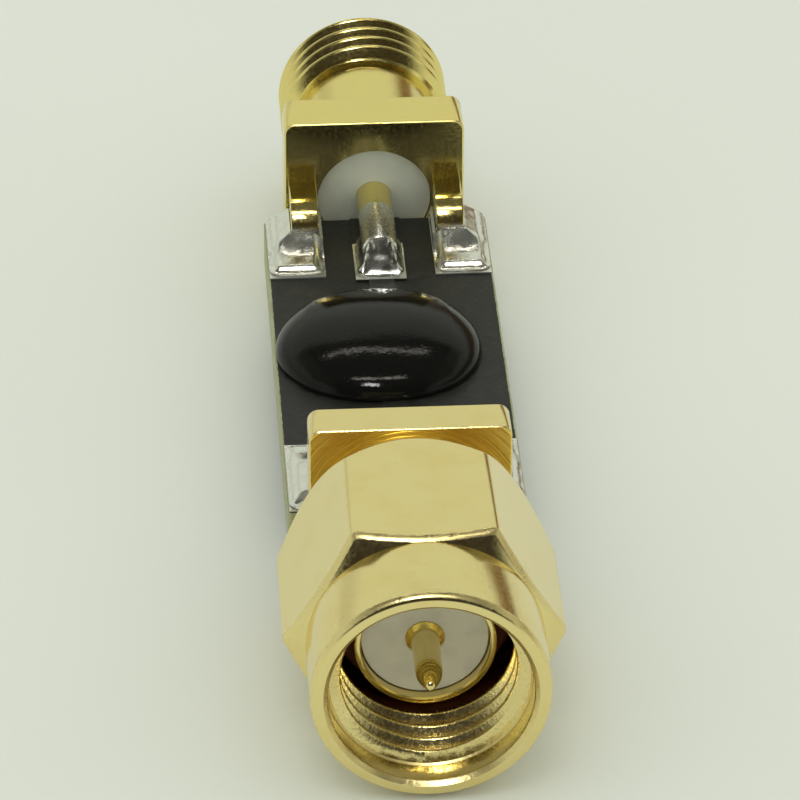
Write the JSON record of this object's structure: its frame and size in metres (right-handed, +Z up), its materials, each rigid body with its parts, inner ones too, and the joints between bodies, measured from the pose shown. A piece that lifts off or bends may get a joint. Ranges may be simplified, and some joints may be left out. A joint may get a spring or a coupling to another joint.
{
  "type": "inline coaxial module",
  "caption": "Inline RF module: a coaxial plug with a captive hexagon coupling nut and a threaded coaxial jack on the ends of a narrow circuit board whose circuit is under an epoxy drop.",
  "frame": {"origin": "on the connectors' common axis, half way between the coupling nut's mouth and the jack's end, which is the centre of the bounding box", "axes": "+Y along the connector axis from the plug to the jack, +Z up from the component side of the board, +X to the right seen from the plug"},
  "size_m": [0.0092, 0.0406, 0.008],
  "materials": {
    "gold": "polished gold plate on brass",
    "spring_bronze": "bare spring bronze",
    "silicone": "dark reddish brown silicone rubber",
    "ptfe": "white fluoropolymer, slightly waxy",
    "board": "matt black solder mask on glass-fibre laminate",
    "tinned_copper": "tinned copper",
    "solder": "bright solder",
    "ceramic_chip": "tan ceramic with tinned end caps",
    "ferrite_chip": "dark grey ferrite with tinned end caps",
    "moulded_chip": "moulded black epoxy with tinned leads",
    "epoxy": "glossy black epoxy"
  },
  "bodies": {
    "module": {"capacitor_in": "ceramic_chip", "capacitor_out": "ceramic_chip", "choke": "ferrite_chip", "circuit_board": "board", "diode_left": "moulded_chip", "diode_right": "moulded_chip", "epoxy_drop": "epoxy", "gasket": "silicone", "jack_body": "gold", "jack_centre_contact": "gold", "jack_insulator": "ptfe", "pad_jack_bottom_left": "tinned_copper", "pad_jack_bottom_right": "tinned_copper", "pad_jack_top_left": "tinned_copper", "pad_jack_top_right": "tinned_copper", "pad_plug_bottom_left": "tinned_copper", "pad_plug_bottom_right": "tinned_copper", "pad_plug_top_left": "tinned_copper", "pad_plug_top_right": "tinned_copper", "plug_body": "gold", "plug_centre_pin": "gold", "plug_insulator": "ptfe", "shunt_pad_left": "tinned_copper", "shunt_pad_right": "tinned_copper", "signal_line_in": "tinned_copper", "signal_line_middle": "tinned_copper", "signal_line_out": "tinned_copper", "solder_jack_bottom_left": "solder", "solder_jack_bottom_right": "solder", "solder_jack_pin": "solder", "solder_jack_top_left": "solder", "solder_jack_top_right": "solder", "solder_plug_bottom_left": "solder", "solder_plug_bottom_right": "solder", "solder_plug_pin": "solder", "solder_plug_top_left": "solder", "solder_plug_top_right": "solder"},
    "retaining_ring": {"retaining_ring": "spring_bronze"},
    "coupling_nut": {"coupling_nut": "gold"}
  },
  "joints": [
    {"name": "nut_float", "type": "slide", "parent": "module", "child": "retaining_ring", "axis": [0, 1, 0], "range_m": [-0.00015, 0.00015]},
    {"name": "nut_spin", "type": "hinge", "parent": "retaining_ring", "child": "coupling_nut", "pos_m": [0, -0.01235, 0], "axis": [0, 1, 0], "continuous": true}
  ]
}
